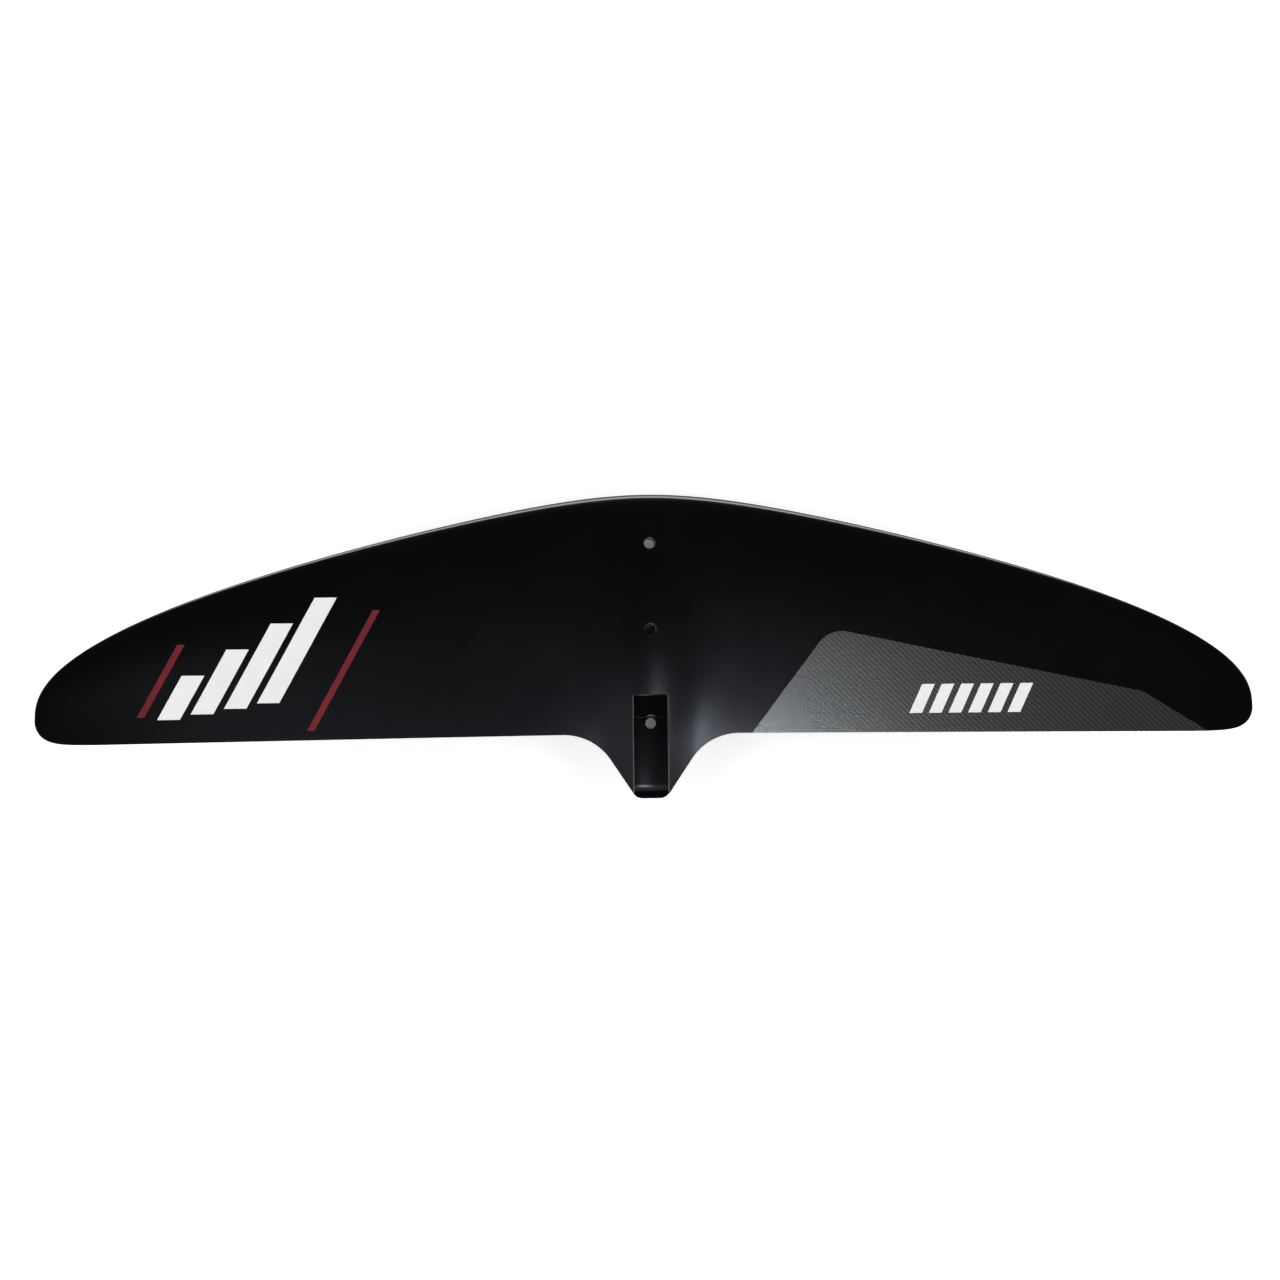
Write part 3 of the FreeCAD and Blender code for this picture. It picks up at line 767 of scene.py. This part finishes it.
def anodised(name):
    """Black anodised turned metal with fine tool rings."""
    material, tree, shader = new_material(name)
    place = object_place(tree)
    rings = add_node(tree, "ShaderNodeTexWave", wave_type="RINGS", rings_direction="Z")
    rings.inputs["Scale"].default_value = 900.0
    rings.inputs["Distortion"].default_value = 0.6
    tree.links.new(place, rings.inputs["Vector"])
    paint(tree, shader, rings.outputs["Fac"], [(0.0, (0.02, 0.02, 0.022)), (1.0, (0.05, 0.05, 0.055))])
    roughen(tree, shader, noise(tree, place, 700.0), 0.28, 0.42)
    shader.inputs["Metallic"].default_value = 0.9
    bump(tree, shader, rings.outputs["Fac"], 0.15, 0.00005)
    return material


def solid_laminate(name):
    """Stacked plies seen on machined faces: thin layers along the thickness."""
    material, tree, shader = new_material(name)
    place = object_place(tree)
    layers = add_node(tree, "ShaderNodeTexWave", wave_type="BANDS", bands_direction="Z")
    layers.inputs["Scale"].default_value = 700.0
    layers.inputs["Distortion"].default_value = 1.5
    tree.links.new(place, layers.inputs["Vector"])
    plies = [(0.2, (0.012, 0.012, 0.013)), (0.9, (0.045, 0.045, 0.047))]
    paint(tree, shader, layers.outputs["Fac"], plies)
    roughen(tree, shader, noise(tree, place, 500.0), 0.4, 0.6)
    bump(tree, shader, layers.outputs["Fac"], 0.2, 0.0001)
    return material


def core_foam(name):
    """Closed cell foam: small cells with darker walls."""
    material, tree, shader = new_material(name)
    cells = add_node(tree, "ShaderNodeTexVoronoi")
    cells.inputs["Scale"].default_value = 900.0
    tree.links.new(object_place(tree), cells.inputs["Vector"])
    paint(tree, shader, cells.outputs["Distance"], [(0.1, (0.66, 0.56, 0.36)), (0.7, (0.45, 0.36, 0.2))])
    roughen(tree, shader, cells.outputs["Distance"], 0.75, 0.95)
    bump(tree, shader, cells.outputs["Distance"], 0.5, 0.0003)
    return material


# Ellipse under the wing where the floor's glow is left out: a painted shadow.
SHADE_CENTRE = (0.0, 0.065, 0.0)
SHADE_SIZE = (0.06, 0.105)
SHADE_EDGE = 0.85
FLOOR_GLOW = 0.5


def studio_floor(name):
    """White floor that glows a little as painted light; in an ellipse under the wing around the bolt holes
    the glow is left out, a painted shadow over the wing's real shadow there.
    """
    material, tree, shader = new_material(name)
    offset = vector_math(tree, "SUBTRACT", object_place(tree), SHADE_CENTRE)
    reach = vector_math(tree, "MULTIPLY", offset, (1 / SHADE_SIZE[0], 1 / SHADE_SIZE[1], 0.0))
    length = add_node(tree, "ShaderNodeVectorMath", operation="LENGTH")
    tree.links.new(reach, length.inputs[0])
    # Emission is nothing inside the ellipse and FLOOR_GLOW outside it: painted light on the floor around a
    # painted shadow.
    glow = add_node(tree, "ShaderNodeMapRange")
    glow.inputs["From Min"].default_value = SHADE_EDGE
    glow.inputs["To Max"].default_value = FLOOR_GLOW
    tree.links.new(length.outputs["Value"], glow.inputs["Value"])
    tree.links.new(glow.outputs["Result"], shader.inputs["Emission Strength"])
    cloud = noise(tree, object_place(tree), 3.0)
    paint(tree, shader, cloud, [(0.3, (0.88, 0.88, 0.88)), (0.7, (0.9, 0.9, 0.9))])
    shader.inputs["Roughness"].default_value = 0.9
    shader.inputs["Specular IOR Level"].default_value = 0.1
    shader.inputs["Emission Color"].default_value = (1.0, 1.0, 1.0, 1.0)
    return material


MATERIALS = {
    "black_lacquer": lacquer("black_lacquer", (0.002, 0.0021, 0.0026), (0.0028, 0.0029, 0.0036), 0.17),
    "tray_laminate": lacquer("tray_laminate", (0.0008, 0.0009, 0.0011), (0.0014, 0.0015, 0.0018), 0.14),
    "bare_carbon": carbon_twill("bare_carbon"),
    "white_print": print_ink("white_print", (0.97, 0.97, 0.97), (0.92, 0.92, 0.93), 0.42),
    "red_print": print_ink("red_print", (0.19, 0.015, 0.02), (0.15, 0.012, 0.016), 0.42),
    "ferrule_metal": anodised("ferrule_metal"),
    "solid_laminate": solid_laminate("solid_laminate"),
    "core_foam": core_foam("core_foam"),
}


def finish_piece(piece, slot):
    piece.data.materials.clear()
    piece.data.materials.append(MATERIALS[slot])
    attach(piece, "root")


finish_piece(face_shell(), "black_lacquer")
finish_piece(back_shell(), "black_lacquer")
finish_piece(slot_tray(), "tray_laminate")
finish_piece(carbon_window(), "bare_carbon")
finish_piece(bar_print("emblem_bars_print", "emblem_bars", EMBLEM_BARS), "white_print")
finish_piece(bar_print("emblem_edges_print", "emblem_edges", EMBLEM_EDGES), "red_print")
finish_piece(bar_print("size_mark_print", "size_mark", SIZE_BARS, WINDOW_TOP), "white_print")

for entry in frame["record"]["subparts"]:
    for material_slot in nodes[entry["node"]].material_slots:
        material_slot.material = MATERIALS[entry["material_slot"]]


# ---- floor, light and camera ----

FLOOR_HALF = 6000.0
FLOOR_DROP = 0.6


def add_floor():
    """Floor a little below the wing's lowest point."""
    low = cad_low[2] / MM - FLOOR_DROP
    signs = [(-1, -1), (1, -1), (1, 1), (-1, 1)]
    corners = [(x * FLOOR_HALF, y * FLOOR_HALF, low) for x, y in signs]
    floor = make_object("floor", corners, [(0, 1, 2, 3)], False)
    floor.data.materials.append(studio_floor("studio_floor"))


COOL = (0.82, 0.88, 1.0)


def area_light(name, place, target, width, height, power, colour=(1.0, 1.0, 1.0)):
    data = bpy.data.lights.new(name, "AREA")
    data.color = colour
    data.shape = "RECTANGLE"
    data.size = width
    data.size_y = height
    data.energy = power
    light = bpy.data.objects.new(name, data)
    light.location = place
    light.rotation_euler = (Vector(target) - Vector(place)).to_track_quat("-Z", "Y").to_euler()
    bpy.context.collection.objects.link(light)


def add_world():
    """Bright at the horizon and dark overhead, like a studio with a black ceiling."""
    world = bpy.data.worlds.new("studio")
    bpy.context.scene.world = world
    world.use_nodes = True
    tree = world.node_tree
    background = tree.nodes["Background"]
    split = add_node(tree, "ShaderNodeSeparateXYZ")
    tree.links.new(add_node(tree, "ShaderNodeTexCoord").outputs["Generated"], split.inputs["Vector"])
    heights = [(0.0, (1.0, 1.0, 1.0)), (0.2, (0.8, 0.8, 0.81)), (0.5, (0.01, 0.01, 0.011))]
    shade = ramp(tree, split.outputs["Z"], heights)
    tree.links.new(shade, background.inputs["Color"])
    background.inputs["Strength"].default_value = 1.0


CAMERA_TILT = (math.radians(-1.5), math.radians(2.426), math.radians(0.594))
CAMERA_SHIFT = Vector((0.00667, 0.11633, -1.3))
LOOK_ORIGIN = Vector((0.0, APEX_AHEAD * MM, CHORD_HEIGHT * MM))
FOCAL_IN_FRAMES = 1.2694
SENSOR = 36.0


def add_camera():
    """Camera almost straight above the face, a little rolled and tilted to it."""
    tilts = zip(CAMERA_TILT, "XYZ")
    about_x, about_y, about_z = [Matrix.Rotation(angle, 3, axis) for angle, axis in tilts]
    turn = about_z @ about_y @ about_x
    data = bpy.data.cameras.new("camera")
    data.sensor_width = SENSOR
    data.lens = SENSOR * FOCAL_IN_FRAMES
    camera = bpy.data.objects.new("camera", data)
    place = LOOK_ORIGIN - turn.transposed() @ CAMERA_SHIFT
    camera.matrix_world = Matrix.Translation(place) @ turn.transposed().to_4x4()
    bpy.context.collection.objects.link(camera)
    bpy.context.scene.camera = camera


add_floor()
add_world()
area_light("left_wash", (-2.4, 0.1, 0.8), (0, 0.05, 0), 2.4, 0.8, 42)
area_light("right_wash", (2.4, 0.1, 0.8), (0, 0.05, 0), 2.4, 0.8, 42)
area_light("front_wash", (0, 2.4, 0.7), (0, 0.1, 0), 3.0, 0.7, 48)
area_light("aft_wash", (0, -2.4, 0.7), (0, 0.0, 0), 3.0, 0.7, 60)
area_light("aft_glow", (0.14, -0.24, 1.3), (0.08, 0, 0), 0.1, 0.1, 0.35, COOL)
area_light("aft_sky", (-0.05, -0.36, 1.3), (0.0, -0.2, 0), 0.8, 0.36, 0.4, COOL)
add_camera()
bpy.context.scene.view_settings.view_transform = "Standard"
